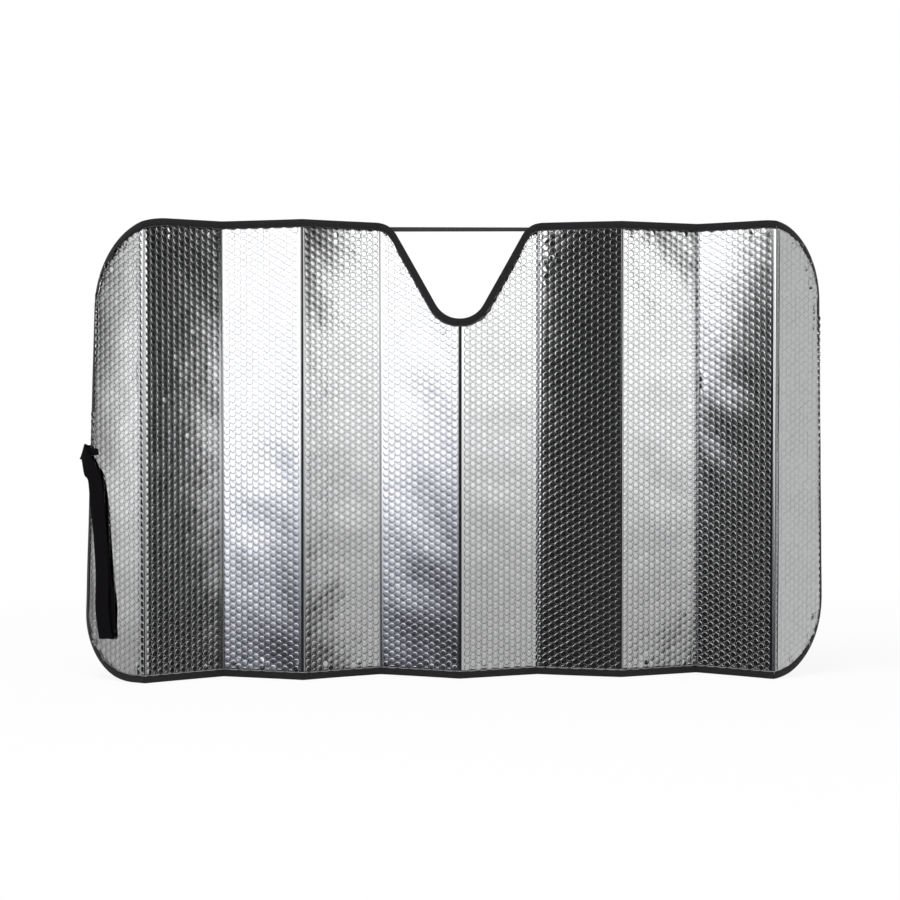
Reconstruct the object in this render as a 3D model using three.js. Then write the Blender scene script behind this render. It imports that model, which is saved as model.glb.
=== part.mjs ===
// Folding windscreen sunshade: one pleated sheet of metallised bubble foil with a mirror notch,
// bound round its edge with woven tape, with an elastic across the notch and a closing strap.
// Millimetres, +Z up. The shade stands on its lower edge, with its shiny face towards -Y.
// The origin is at the foot of the middle fold, on the surface that the shade stands on.
import * as THREE from 'three';

// The sheet, measured flat
const SHEET_HEIGHT = 800;
const PANEL_WIDTH = 150;
const LEFT_END = { top: 108, bottom: 143, topRadius: 160, bottomRadius: 112 };
const RIGHT_END = { top: 113, bottom: 128, topRadius: 138, bottomRadius: 135 };
const FACE_HEIGHT = 2.4;
const PRESSED_THICKNESS = 1.2;

// How far each panel is turned from straight, in degrees, from the left end to the right
const PANEL_ANGLES = [-33, 31.5, -19.5, 26, -23.5, 20, -16.5, 20.5, -35.5, 34];

// A fold is a strip pressed flat in the bubble foil, with a ramp on both sides
const CREASE_WIDTH = 4;
const CREASE_RAMP = 2;

// Mirror notch at the middle of the top edge
const NOTCH_DEPTH = 171;
const NOTCH_FLANK_ANGLE = 31;
const NOTCH_FLOOR_RADIUS = 53;
const NOTCH_SHOULDER_RADIUS = 45;

// Tape folded over the pressed rim of the sheet
const TAPE_WIDTH = 12;
const TAPE_THICKNESS = 0.8;
const TAPE_FOLD_FLAT = 2;
const SEWN_GAP = 0.3;
const RIM_RAMP = 3;

// Along the two upright sides the bound rim leans back. The lean sets in on the rounded corners,
// where the outline has turned this share of the way from level to upright.
const SIDE_LEAN = 25;
const LEAN_START = 0.35;

// Elastic across the mouth of the notch
const ELASTIC_WIDTH = 7;
const ELASTIC_THICKNESS = 1.5;
const ELASTIC_BELOW_TOP = 12;
const ELASTIC_TAB = 13;

// Closing strap, a loop of webbing sewn behind the left edge
const STRAP_WIDTH = 30;
const STRAP_THICKNESS = 1.4;
const STRAP_SEWN_HEIGHT = 393;
const STRAP_TAB = 10;
const STRAP_OVERHANG = 1;
const STRAP_LAYER_GAP = 0.5;
const STRAP_STANDOFF = 2.1;

// The slanting fold that turns the strap down, at its back, its tip and its front: how far its
// lower and upper ends stand out from the edge and in front of the panel, in strap widths, and
// which way the outer layer lies from the inner one
const STRAP_FOLD_RISE = 5;
const STRAP_FOLD = [
  { lowOut: 0.5, lowFront: -0.27, highOut: 0.07, highFront: -0.34, layer: { out: 0.3, front: -1 } },
  { lowOut: 0.69, lowFront: -0.15, highOut: 0.11, highFront: -0.14, layer: { out: 1, front: 0 } },
  { lowOut: 0.4, lowFront: 0, highOut: 0.06, highFront: 0.14, layer: { out: 0.3, front: 1 } },
];

// The strap's hanging run: how far its end is below the sewn end and in from the left edge, then
// the shares of those at points down the run, and how far the outer layer lies to the right of the
// inner one, in strap widths, and in front of it, in strap thicknesses
const STRAP_HANG = 315;
const STRAP_END_INSET = 62;
const STRAP_RUN = [
  { down: 0.086, inward: 0.18, fan: 0, spread: 0 },
  { down: 0.137, inward: 0.35, fan: 0.06, spread: 0 },
  { down: 0.289, inward: 0.47, fan: 0.18, spread: 0.7 },
  { down: 0.47, inward: 0.64, fan: 0.06, spread: 0.7 },
  { down: 0.67, inward: 0.83, fan: -0.06, spread: 1.4 },
  { down: 0.844, inward: 1, fan: -0.32, spread: 2.9 },
  { down: 1, inward: 1, fan: -0.03, spread: 2.1 },
];

// Steps of the rounded outline in degrees, columns of points across each end panel, how close two
// columns may come, and how finely a distance along an edge is found
const ARC_STEP = 12;
const END_COLUMNS = 8;
const COLUMN_SPACING = 1;
const DISTANCE_TOLERANCE = 1e-9;

const PANELS = PANEL_ANGLES.length;
const FOLDS = PANELS - 1;
const RIM_HALF = PRESSED_THICKNESS / 2;
const TAPE_INNER = RIM_HALF + SEWN_GAP;
const TAPE_OUTER = TAPE_INNER + TAPE_THICKNESS;
const RIM_INSET = TAPE_THICKNESS + SEWN_GAP;
const SEAM_INSET = TAPE_WIDTH + SEWN_GAP;
const FACE_INSET = SEAM_INSET + RIM_RAMP;

const flatPoint = (x, y) => new THREE.Vector2(x, y);
const foldLines = Array.from({ length: FOLDS }, (_, k) => (k - (FOLDS - 1) / 2) * PANEL_WIDTH);
const firstFold = foldLines[0];
const lastFold = foldLines[FOLDS - 1];

// Runs of the sheet's middle line in plan: each panel is straight, and at each fold the line
// turns evenly through the width of the crease
function planRuns() {
  const headings = PANEL_ANGLES.map((angle) => THREE.MathUtils.degToRad(angle));
  const half = CREASE_WIDTH / 2;
  const outer = PANEL_WIDTH + LEFT_END.bottom + RIGHT_END.bottom;
  const planned = [];
  let from = firstFold - outer;
  foldLines.forEach((u, k) => {
    planned.push({ from, to: u - half, start: headings[k], end: headings[k] });
    planned.push({ from: u - half, to: u + half, start: headings[k], end: headings[k + 1] });
    from = u + half;
  });
  planned.push({ from, to: lastFold + outer, start: headings[PANELS - 1], end: headings[PANELS - 1] });
  let at = flatPoint(0, 0);
  return planned.map((run) => {
    const placed = { ...run, at };
    at = alongRun(placed, run.to);
    return placed;
  });
}

function headingOn(run, u) {
  return run.start + ((run.end - run.start) * (u - run.from)) / (run.to - run.from);
}

// The point at u on a run: the heading is linear in u, so the line is straight or an arc
function alongRun(run, u) {
  const turn = run.end - run.start;
  const heading = headingOn(run, u);
  if (turn === 0) {
    const length = u - run.from;
    return flatPoint(run.at.x + length * Math.cos(heading), run.at.y + length * Math.sin(heading));
  }
  const radius = (run.to - run.from) / turn;
  const dx = radius * (Math.sin(heading) - Math.sin(run.start));
  const dy = radius * (Math.cos(run.start) - Math.cos(heading));
  return flatPoint(run.at.x + dx, run.at.y + dy);
}

const runs = planRuns();
const runAt = (u) => runs.find((run) => u <= run.to) ?? runs.at(-1);
const middleFold = foldLines[(FOLDS - 1) / 2] ?? 0;
const planOrigin = alongRun(runAt(middleFold), middleFold);

// The folded place of a point of the flat sheet: u to the right, v up, w out of the shiny face
function place(u, v, w) {
  const run = runAt(u);
  const heading = headingOn(run, u);
  const middle = alongRun(run, u).sub(planOrigin);
  return new THREE.Vector3(middle.x + w * Math.sin(heading), middle.y - w * Math.cos(heading), v);
}

// A straight or rounded stretch of outline gives its point and direction at a distance along it
function straight(from, to) {
  const along = to.clone().sub(from);
  const length = along.length();
  along.normalize();
  return { length, round: false, at: (s) => ({ point: from.clone().addScaledVector(along, s), along }) };
}

function rounded(centre, radius, startAngle, turn) {
  const length = radius * Math.abs(turn);
  const side = Math.sign(turn);
  const at = (s) => {
    const angle = startAngle + (side * s) / radius;
    const spoke = flatPoint(Math.cos(angle), Math.sin(angle));
    const along = flatPoint(-spoke.y * side, spoke.x * side);
    return { point: centre.clone().addScaledVector(spoke, radius), along };
  };
  return { length, round: true, at };
}

// The rounding of one corner between its two straight neighbours
function roundCorner(before, corner, after, radius) {
  const inward = corner.clone().sub(before).normalize();
  const outward = after.clone().sub(corner).normalize();
  const turn = Math.atan2(inward.cross(outward), inward.dot(outward));
  const reach = radius * Math.tan(Math.abs(turn) / 2);
  const start = corner.clone().addScaledVector(inward, -reach);
  const end = corner.clone().addScaledVector(outward, reach);
  const side = Math.sign(turn);
  const centre = flatPoint(start.x - inward.y * side * radius, start.y + inward.x * side * radius);
  const startAngle = Math.atan2(start.y - centre.y, start.x - centre.x);
  return { start, end, arc: rounded(centre, radius, startAngle, turn) };
}

// An edge from the first rounded corner to the last, with the inward side given by its sign
function sheetEdge(corners, radii, inwardSide) {
  const turns = radii.map((radius, k) => roundCorner(corners[k], corners[k + 1], corners[k + 2], radius));
  const pieces = [];
  turns.forEach((turn, k) => {
    if (k > 0) {
      pieces.push(straight(turns[k - 1].end, turn.start));
    }
    pieces.push(turn.arc);
  });
  const starts = [0];
  pieces.forEach((piece) => starts.push(starts.at(-1) + piece.length));
  const length = starts.at(-1);
  const at = (s) => {
    const k = Math.max(0, pieces.findIndex((piece, n) => s <= starts[n + 1]));
    const { point, along } = pieces[s > length ? pieces.length - 1 : k].at(s - starts[k]);
    return { point, inward: flatPoint(-along.y * inwardSide, along.x * inwardSide) };
  };
  const distanceAt = (u) => {
    let low = 0;
    let high = length;
    while (high - low > DISTANCE_TOLERANCE) {
      const middle = (low + high) / 2;
      if (at(middle).point.x < u) {
        low = middle;
      } else {
        high = middle;
      }
    }
    return (low + high) / 2;
  };
  const roundSteps = pieces.flatMap((piece, n) => (piece.round ? arcSteps(starts[n], piece) : []));
  return { at, distanceAt, length, roundSteps };
}

// Distances along the edge at which a rounded stretch is stepped
function arcSteps(start, piece) {
  const turned = piece.at(0).along.angleTo(piece.at(piece.length).along);
  const steps = Math.ceil(THREE.MathUtils.radToDeg(turned) / ARC_STEP);
  return Array.from({ length: steps + 1 }, (_, k) => start + (piece.length * k) / steps);
}

// Corners of the flat outline before rounding
const leftTop = flatPoint(firstFold - LEFT_END.top, SHEET_HEIGHT);
const leftBottom = flatPoint(firstFold - LEFT_END.bottom, 0);
const rightTop = flatPoint(lastFold + RIGHT_END.top, SHEET_HEIGHT);
const rightBottom = flatPoint(lastFold + RIGHT_END.bottom, 0);

function notchCorners() {
  const flank = THREE.MathUtils.degToRad(NOTCH_FLANK_ANGLE);
  const apexDepth = NOTCH_DEPTH + NOTCH_FLOOR_RADIUS * (1 / Math.sin(flank) - 1);
  const halfMouth = apexDepth * Math.tan(flank);
  const left = flatPoint(middleFold - halfMouth, SHEET_HEIGHT);
  const right = flatPoint(middleFold + halfMouth, SHEET_HEIGHT);
  return [left, flatPoint(middleFold, SHEET_HEIGHT - apexDepth), right];
}

const topEdge = sheetEdge(
  [leftBottom, leftTop, ...notchCorners(), rightTop, rightBottom],
  [LEFT_END.topRadius, NOTCH_SHOULDER_RADIUS, NOTCH_FLOOR_RADIUS, NOTCH_SHOULDER_RADIUS, RIGHT_END.topRadius],
  -1,
);
const bottomEdge = sheetEdge(
  [leftTop, leftBottom, rightBottom, rightTop],
  [LEFT_END.bottomRadius, RIGHT_END.bottomRadius],
  1,
);

// A station is a point of the outline with the direction in which the rim is measured from it.
// On a fold that direction is upright, so that the tape and the sheet bend on the same lines.
const inset = (station, depth) => station.point.clone().addScaledVector(station.inward, depth);
const foldStation = (edge, u) => {
  const { point, inward } = edge.at(edge.distanceAt(u));
  return { point: flatPoint(u, point.y), inward: flatPoint(0, 1 / inward.y) };
};

const creaseReach = CREASE_WIDTH / 2 + CREASE_RAMP;
const creaseThird = CREASE_WIDTH / 3;
const creaseOffsets = [-creaseReach, -1.5 * creaseThird, -0.5 * creaseThird];
const creaseLines = [...creaseOffsets, ...creaseOffsets.map((offset) => -offset).reverse()];

// How far the rim leans back at a station, in radians
function rimLean({ point, inward }) {
  const onEnd = point.x < firstFold - creaseReach || point.x > lastFold + creaseReach;
  const upright = (Math.abs(inward.x) - LEAN_START) / (1 - LEAN_START);
  return onEnd ? THREE.MathUtils.degToRad(SIDE_LEAN) * THREE.MathUtils.clamp(upright, 0, 1) : 0;
}

// The place of a point of the rim, depth in from the outline and w in front of the sheet's middle.
// A leaning rim is turned about the line where the bubbles reach their full height.
function rimPlace(station, depth, w) {
  const reach = FACE_INSET - depth;
  const lean = rimLean(station);
  const point = inset(station, FACE_INSET - reach * Math.cos(lean) - w * Math.sin(lean));
  return place(point.x, point.y, w * Math.cos(lean) - reach * Math.sin(lean));
}

// A rounded step is kept where its rim runs over no fold
function clearOfFolds(station) {
  const ends = [station.point.x, inset(station, FACE_INSET).x];
  const low = Math.min(...ends) - COLUMN_SPACING;
  const high = Math.max(...ends) + COLUMN_SPACING;
  return foldLines.every((u) => high < u - creaseReach || low > u + creaseReach);
}

const plainColumn = (topDistance, bottomDistance) => ({
  top: topEdge.at(topDistance),
  bottom: bottomEdge.at(bottomDistance),
  pressed: false,
});

function foldColumn(u, offset) {
  const pressed = Math.abs(offset) < creaseReach;
  return { top: foldStation(topEdge, u + offset), bottom: foldStation(bottomEdge, u + offset), pressed };
}

// Columns between the first fold and the last: the folds, and the steps of the notch and corners
function middleColumns() {
  const columns = foldLines.flatMap((u) => creaseLines.map((offset) => foldColumn(u, offset)));
  const roundPoints = [topEdge, bottomEdge].flatMap((edge) => edge.roundSteps.map((s) => edge.at(s).point.x));
  const inner = roundPoints.filter((u) => u > firstFold && u < lastFold).sort((a, b) => a - b);
  const steps = inner.filter((u, k) => k === 0 || u - inner[k - 1] > COLUMN_SPACING);
  for (const u of steps) {
    const column = plainColumn(topEdge.distanceAt(u), bottomEdge.distanceAt(u));
    if (clearOfFolds(column.top) && clearOfFolds(column.bottom)) {
      columns.push(column);
    }
  }
  return columns.sort((a, b) => a.top.point.x - b.top.point.x);
}

// Columns of an end panel share out the rounded corner above it and the one below it
function leftColumns() {
  const top = topEdge.distanceAt(firstFold - creaseReach);
  const bottom = bottomEdge.distanceAt(firstFold - creaseReach);
  const shares = Array.from({ length: END_COLUMNS }, (_, k) => k / END_COLUMNS);
  return shares.map((share) => plainColumn(top * share, bottom * share));
}

function rightColumns() {
  const top = topEdge.distanceAt(lastFold + creaseReach);
  const bottom = bottomEdge.distanceAt(lastFold + creaseReach);
  const shares = Array.from({ length: END_COLUMNS }, (_, k) => (k + 1) / END_COLUMNS);
  const outward = (edge, from, share) => from + (edge.length - from) * share;
  return shares.map((share) => plainColumn(outward(topEdge, top, share), outward(bottomEdge, bottom, share)));
}

const columns = [...leftColumns(), ...middleColumns(), ...rightColumns()];

function solidMesh(name, points, triangles, material) {
  const geometry = new THREE.BufferGeometry().setFromPoints(points);
  geometry.setIndex(triangles);
  geometry.computeVertexNormals();
  const mesh = new THREE.Mesh(geometry, material);
  mesh.name = name;
  return mesh;
}

const addQuad = (triangles, a, b, c, d) => triangles.push(a, b, c, a, c, d);

// The sheet: six points down the front of each column, from the top rim to the bottom rim,
// and six down its back. The shiny side stands up in bubbles, and is pressed flat at the rim
// and at the folds. Along the rim each quad is split from the outer point of one station to the
// inner point of the next, as the tape's are, so that the two stay parallel at the corners.
function foilSheet() {
  const rows = [RIM_INSET, SEAM_INSET, FACE_INSET];
  const points = [];
  for (const { top, bottom, pressed } of columns) {
    const face = pressed ? RIM_HALF : FACE_HEIGHT;
    const heights = [RIM_HALF, RIM_HALF, face];
    points.push(...rows.map((depth, row) => rimPlace(top, depth, heights[row])));
    points.push(...rows.map((depth, row) => rimPlace(bottom, depth, heights[row])).reverse());
    points.push(...rows.map((depth) => rimPlace(top, depth, -RIM_HALF)));
    points.push(...rows.map((depth) => rimPlace(bottom, depth, -RIM_HALF)).reverse());
  }
  const perSide = 2 * rows.length;
  const front = (column, row) => column * 2 * perSide + row;
  const back = (column, row) => front(column, row) + perSide;
  const last = columns.length - 1;
  const foot = perSide - 1;
  const triangles = [];
  for (let k = 0; k < last; k += 1) {
    const next = k + 1;
    for (let row = 0; row < foot; row += 1) {
      addQuad(triangles, front(k, row + 1), front(next, row + 1), front(next, row), front(k, row));
      addQuad(triangles, back(next, row), back(next, row + 1), back(k, row + 1), back(k, row));
    }
    addQuad(triangles, front(k, foot), back(k, foot), back(next, foot), front(next, foot));
    addQuad(triangles, front(next, 0), back(next, 0), back(k, 0), front(k, 0));
  }
  for (let row = 0; row < rows.length - 1; row += 1) {
    const mirror = foot - row;
    addQuad(triangles, front(0, mirror - 1), front(0, row + 1), front(0, row), front(0, mirror));
    addQuad(triangles, back(0, row), back(0, row + 1), back(0, mirror - 1), back(0, mirror));
    addQuad(triangles, front(last, row + 1), front(last, mirror - 1), front(last, mirror), front(last, row));
    addQuad(triangles, back(last, mirror), back(last, mirror - 1), back(last, row + 1), back(last, row));
  }
  addQuad(triangles, front(0, 0), back(0, 0), back(0, foot), front(0, foot));
  addQuad(triangles, front(last, foot), back(last, foot), back(last, 0), front(last, 0));
  return solidMesh('foil_sheet', points, triangles, foilMaterial);
}

// A solid swept through sections, whose points run anticlockwise seen against the travel.
// It closes into a ring, or its two ends are capped. turned says which quads are split the other way.
function sweep(name, sections, closed, material, turned = () => false) {
  const size = sections[0].length;
  const triangles = [];
  const count = sections.length;
  const joints = closed ? count : count - 1;
  for (let k = 0; k < joints; k += 1) {
    const here = k * size;
    const next = ((k + 1) % count) * size;
    for (let n = 0; n < size; n += 1) {
      const m = (n + 1) % size;
      if (turned(n, m)) {
        addQuad(triangles, here + m, next + m, next + n, here + n);
      } else {
        addQuad(triangles, here + n, here + m, next + m, next + n);
      }
    }
  }
  if (!closed) {
    const end = (count - 1) * size;
    addQuad(triangles, 3, 2, 1, 0);
    addQuad(triangles, end, end + 1, end + 2, end + 3);
  }
  return solidMesh(name, sections.flat(), triangles, material);
}

// The tape: a U section over the rim, carried round the whole outline, the notch included
function edgeBinding() {
  const fold = TAPE_FOLD_FLAT / 2;
  const round = TAPE_OUTER - fold;
  const profile = [
    [round, -TAPE_OUTER],
    [TAPE_WIDTH, -TAPE_OUTER],
    [TAPE_WIDTH, -TAPE_INNER],
    [TAPE_THICKNESS, -TAPE_INNER],
    [TAPE_THICKNESS, TAPE_INNER],
    [TAPE_WIDTH, TAPE_INNER],
    [TAPE_WIDTH, TAPE_OUTER],
    [round, TAPE_OUTER],
    [0, fold],
    [0, -fold],
  ];
  const ring = [...columns.map(({ bottom }) => bottom), ...columns.map(({ top }) => top).reverse()];
  const sections = ring.map((station) => profile.map(([depth, w]) => rimPlace(station, depth, w)));
  const goesOutward = (n, m) => profile[m][0] < profile[n][0];
  return sweep('edge_binding', sections, true, tapeMaterial, goesOutward);
}

// Rectangular sections of a flat band, square to its path, from the lines across it
function bandSections(lines, thickness) {
  const centres = lines.map(([left, right]) => left.clone().add(right).multiplyScalar(0.5));
  return lines.map(([left, right], k) => {
    const before = centres[Math.max(k - 1, 0)];
    const after = centres[Math.min(k + 1, lines.length - 1)];
    const travel = after.clone().sub(before);
    const across = right.clone().sub(left);
    const lift = travel.cross(across).setLength(thickness / 2);
    const moved = (point, side) => point.clone().addScaledVector(lift, side);
    return [moved(left, -1), moved(right, -1), moved(right, 1), moved(left, 1)];
  });
}

// The elastic: sewn behind the tape on both flanks of the notch, and straight between them
function notchElastic() {
  const centre = SHEET_HEIGHT - ELASTIC_BELOW_TOP;
  const behind = -(TAPE_OUTER + SEWN_GAP + ELASTIC_THICKNESS / 2);
  const innerFolds = foldLines.filter((u) => u > middleFold);
  const tabEnd = (innerFolds[0] ?? rightTop.x) - middleFold - creaseReach;
  const tabStart = tabEnd - ELASTIC_TAB;
  const crossing = (u) => [
    place(middleFold + u, centre + ELASTIC_WIDTH / 2, behind),
    place(middleFold + u, centre - ELASTIC_WIDTH / 2, behind),
  ];
  const lines = [-tabEnd, -tabStart, tabStart, tabEnd].map(crossing);
  return sweep('notch_elastic', bandSections(lines, ELASTIC_THICKNESS), false, elasticMaterial);
}

const leftEdgeAt = (v) => leftBottom.x + ((leftTop.x - leftBottom.x) * v) / SHEET_HEIGHT;

// A point by the left edge in the plane of the end panel: inward from the edge, w in front
const byEdge = (inward, v, w) => place(leftEdgeAt(v) + inward, v, w);

// A point behind the tape of the left edge, deep in from the outline
function behindTape(depth, v, w) {
  const along = leftTop.clone().sub(leftBottom).normalize();
  const station = { point: flatPoint(leftEdgeAt(v), v), inward: flatPoint(along.y, -along.x) };
  return rimPlace(station, depth, -w);
}

// Lines across one layer of the strap, from its sewn end behind the edge, round its slanting
// fold and down the front. The layer is the inner one, or the outer one that lies over it.
function strapLayer(outer) {
  const apart = outer ? 1 : 0;
  const over = apart * (STRAP_THICKNESS + STRAP_LAYER_GAP);
  const half = STRAP_WIDTH / 2;
  const behind = TAPE_OUTER + SEWN_GAP + STRAP_THICKNESS / 2 + over;
  const low = STRAP_SEWN_HEIGHT - half;
  const high = STRAP_SEWN_HEIGHT + half;
  const sewnDepths = [STRAP_TAB, -STRAP_OVERHANG];
  const sewn = sewnDepths.map((depth) => [behindTape(depth, low, behind), behindTape(depth, high, behind)]);
  const frontOf = (share, layer) => share * STRAP_WIDTH + over * layer.front;
  const fold = STRAP_FOLD.map(({ lowOut, lowFront, highOut, highFront, layer }) => [
    byEdge(-lowOut * STRAP_WIDTH - over * layer.out, low + STRAP_FOLD_RISE, frontOf(lowFront, layer)),
    byEdge(-highOut * STRAP_WIDTH - over * layer.out, high, frontOf(highFront, layer)),
  ]);
  const front = FACE_HEIGHT + STRAP_STANDOFF + STRAP_THICKNESS / 2;
  const centres = STRAP_RUN.map(({ down, inward, fan, spread }) => {
    const v = STRAP_SEWN_HEIGHT - down * STRAP_HANG;
    const u = leftEdgeAt(v) + inward * STRAP_END_INSET + apart * fan * STRAP_WIDTH;
    return new THREE.Vector3(u, v, front + over + apart * spread * STRAP_THICKNESS);
  });
  const hanging = centres.map((centre, k) => {
    const before = centres[Math.max(k - 1, 0)];
    const after = centres[Math.min(k + 1, centres.length - 1)];
    const along = flatPoint(after.x - before.x, after.y - before.y).normalize();
    const reach = flatPoint(-along.y, along.x).multiplyScalar(half);
    return [
      place(centre.x - reach.x, centre.y - reach.y, centre.z),
      place(centre.x + reach.x, centre.y + reach.y, centre.z),
    ];
  });
  return [...sewn, ...fold, ...hanging];
}

// The strap is one length: down in the outer layer, round its lower bend and back in the inner one
function closureStrap() {
  const outer = strapLayer(true);
  const inner = strapLayer(false);
  const outerEnd = outer.at(-1);
  const innerEnd = inner.at(-1);
  const bend = [0, 1].map((side) => {
    const radius = outerEnd[side].distanceTo(innerEnd[side]) / 2;
    const middle = outerEnd[side].clone().add(innerEnd[side]).multiplyScalar(0.5);
    return middle.setZ(middle.z - radius);
  });
  const lines = [...outer, bend, ...inner.reverse()];
  return sweep('closure_strap', bandSections(lines, STRAP_THICKNESS), false, strapMaterial);
}

const foilMaterial = new THREE.MeshStandardMaterial({ color: 0xcfd0d2, roughness: 0.22, metalness: 1 });
const tapeMaterial = new THREE.MeshStandardMaterial({ color: 0x2b2a2d, roughness: 0.85, metalness: 0 });
const elasticMaterial = new THREE.MeshStandardMaterial({ color: 0x333333, roughness: 0.8, metalness: 0 });
const strapMaterial = new THREE.MeshStandardMaterial({ color: 0x111113, roughness: 0.9, metalness: 0 });

const sunshade = new THREE.Group();
sunshade.add(foilSheet(), edgeBinding(), notchElastic(), closureStrap());

export default sunshade;
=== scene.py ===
"""Windscreen sunshade of metallised bubble foil, as the camera sees it.

Shapes are worked out in millimetres and put into meshes in metres. A point of the sheet is
(u, v, w): u to the right and v up along the flat sheet, and w in front of its middle.
"""
import math

import bpy
import numpy as np
from mathutils import Euler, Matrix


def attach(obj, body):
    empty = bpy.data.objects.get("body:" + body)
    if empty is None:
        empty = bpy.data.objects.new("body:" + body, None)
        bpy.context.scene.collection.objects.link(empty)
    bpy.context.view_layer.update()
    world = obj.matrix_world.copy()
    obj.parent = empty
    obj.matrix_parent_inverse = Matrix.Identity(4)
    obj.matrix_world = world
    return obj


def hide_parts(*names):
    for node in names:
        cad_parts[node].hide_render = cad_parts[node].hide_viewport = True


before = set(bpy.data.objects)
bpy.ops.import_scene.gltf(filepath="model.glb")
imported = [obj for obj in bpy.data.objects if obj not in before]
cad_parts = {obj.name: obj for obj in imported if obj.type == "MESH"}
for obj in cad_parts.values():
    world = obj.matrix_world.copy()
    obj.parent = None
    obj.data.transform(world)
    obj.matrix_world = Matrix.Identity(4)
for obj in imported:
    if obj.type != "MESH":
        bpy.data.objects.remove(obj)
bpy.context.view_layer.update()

MM = 0.001
TAU = 2 * math.pi

# Camera of the photograph
CAMERA_PLACE = (-0.141, -3.307, 0.489)
CAMERA_DOWN = 1.54
CAMERA_RIGHT = 2.15
CAMERA_LENS = 76.0
SENSOR = 36.0

# The flat sheet
SHEET_HEIGHT = 800.0
PANEL = 150.0

# Heading of each panel in plan, from the left, and the fold lines between them
HEADINGS = np.radians([-33, 31.5, -19.5, 26, -23.5, 20, -16.5, 20.5, -35.5, 34])
FOLDS = (np.arange(9) - 4) * PANEL
FIRST_FOLD, LAST_FOLD = FOLDS[0], FOLDS[-1]

# Where the sheet's two sides meet its top and its foot, the rounding of its corners, the notch's
# depth, half angle and roundings, and how far apart the points of the outline stand
LEFT_TOP, LEFT_BOTTOM = FIRST_FOLD - 108, FIRST_FOLD - 143
RIGHT_TOP, RIGHT_BOTTOM = LAST_FOLD + 113, LAST_FOLD + 128
TOP_LEFT_RADIUS, TOP_RIGHT_RADIUS, FOOT_LEFT_RADIUS, FOOT_RIGHT_RADIUS = 160, 138, 112, 135
NOTCH_DEPTH, NOTCH_FLANK, NOTCH_FLOOR, NOTCH_SHOULDER = 171, math.radians(31), 53, 45
POINT_SPACING = 4.0

# How far the end panels' planes are carried on, and how far out u rises steadily along both edges
PLANE_PAST_END = 500.0
STEADY_END = LAST_FOLD + 40

# Film, crease and tape, with heights in front of the sheet's middle
CREASE_HALF = 2.0
CREASE_REACH = 4.0
CREASE_ROUND = 0.05
FILM_FRONT, FILM_BACK = 0.3, -0.6
FACE_HEIGHT = 2.4
FACE_LEVEL = 2.0
TAPE_WIDTH, TAPE_HEM = 12.0, 0.5
TAPE_INNER, TAPE_OUTER = 0.9, 1.7
BEHIND_TAPE = 0.3
FACE_INSET = 15.3
RAMP_START, RAMP_END = TAPE_WIDTH - 0.6, TAPE_WIDTH + 1.4
SIDE_LEAN, LEAN_START = math.radians(25), 0.35

# Bubbles of the laminate, in upright columns
BUBBLE_PITCH = 12.5
BUBBLE_COLUMN = BUBBLE_PITCH * math.sqrt(3) / 2
BUBBLE_SIDES = 10
LATTICE_START = 2.2
LATTICE_COLUMNS, LATTICE_ROWS = 69, 66


# Camera


def make_camera():
    data = bpy.data.cameras.new("camera")
    data.lens, data.sensor_width = CAMERA_LENS, SENSOR
    data.clip_start, data.clip_end = 0.05, 100
    camera = bpy.data.objects.new("camera", data)
    camera.location = CAMERA_PLACE
    turn = (math.radians(90 - CAMERA_DOWN), 0, math.radians(-CAMERA_RIGHT))
    camera.rotation_euler = Euler(turn)
    bpy.context.collection.objects.link(camera)
    bpy.context.scene.camera = camera


make_camera()
bpy.context.scene.view_settings.view_transform = "Standard"


# The folded sheet


def plan_runs():
    """Runs of the middle line in plan: a panel is straight, and a crease turns evenly."""
    bounds = np.repeat(FOLDS, 2) + np.tile([-1, 1], len(FOLDS)) * CREASE_HALF
    starts = np.concatenate([[FIRST_FOLD - PLANE_PAST_END], bounds])
    ends = np.append(bounds, LAST_FOLD + PLANE_PAST_END)
    first = np.repeat(HEADINGS, 2)[:-1]
    turn = np.zeros(len(starts))
    turn[1::2] = np.diff(HEADINGS)
    places = [np.zeros(2)]
    for length, heading, bend in zip(ends - starts, first, turn):
        reach = length * np.sinc(bend / TAU)
        step = np.array([math.cos(heading + bend / 2), math.sin(heading + bend / 2)])
        places.append(places[-1] + reach * step)
    return starts, ends, first, turn, np.array(places[:-1])


RUN_FROM, RUN_TO, RUN_HEADING, RUN_TURN, RUN_PLACE = plan_runs()


def plan(u):
    """Place and heading of the middle line at u: a chord of the run's arc, from the run's start."""
    k = np.clip(np.searchsorted(RUN_TO, u), 0, len(RUN_TO) - 1)
    length = u - RUN_FROM[k]
    bend = RUN_TURN[k] * length / (RUN_TO[k] - RUN_FROM[k])
    reach = length * np.sinc(bend / TAU)
    mean = RUN_HEADING[k] + bend / 2
    x = RUN_PLACE[k, 0] + reach * np.cos(mean)
    y = RUN_PLACE[k, 1] + reach * np.sin(mean)
    return x, y, RUN_HEADING[k] + bend


PLAN_ORIGIN = np.array(plan(np.array(0.0))[:2])

# How far each panel bows in front of its plane, and the folds with one more place past each end
PANEL_BOW = np.array([1.6, -1.2, -1.3, -1.6, -1.4, 0.0, 1.5, 0.0, -1.7, 0.0])
KNOTS = np.concatenate([[FIRST_FOLD - PANEL], FOLDS, [LAST_FOLD + PANEL]])

# Long waves of the laminate: the size, direction, length and phase of each
WAVE_HEIGHT, WAVE_COUNT, WAVES_FADE = 0.055, 14, 45.0
rng = np.random.default_rng(11)
WAVES = [
    (rng.uniform(0.5, 1.0), rng.uniform(0, TAU), rng.uniform(70, 170), rng.uniform(0, TAU))
    for _ in range(WAVE_COUNT)
]


def crease_distance(u):
    """Distance to the nearest fold line."""
    return np.abs(u[..., None] - FOLDS).min(-1)


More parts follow.
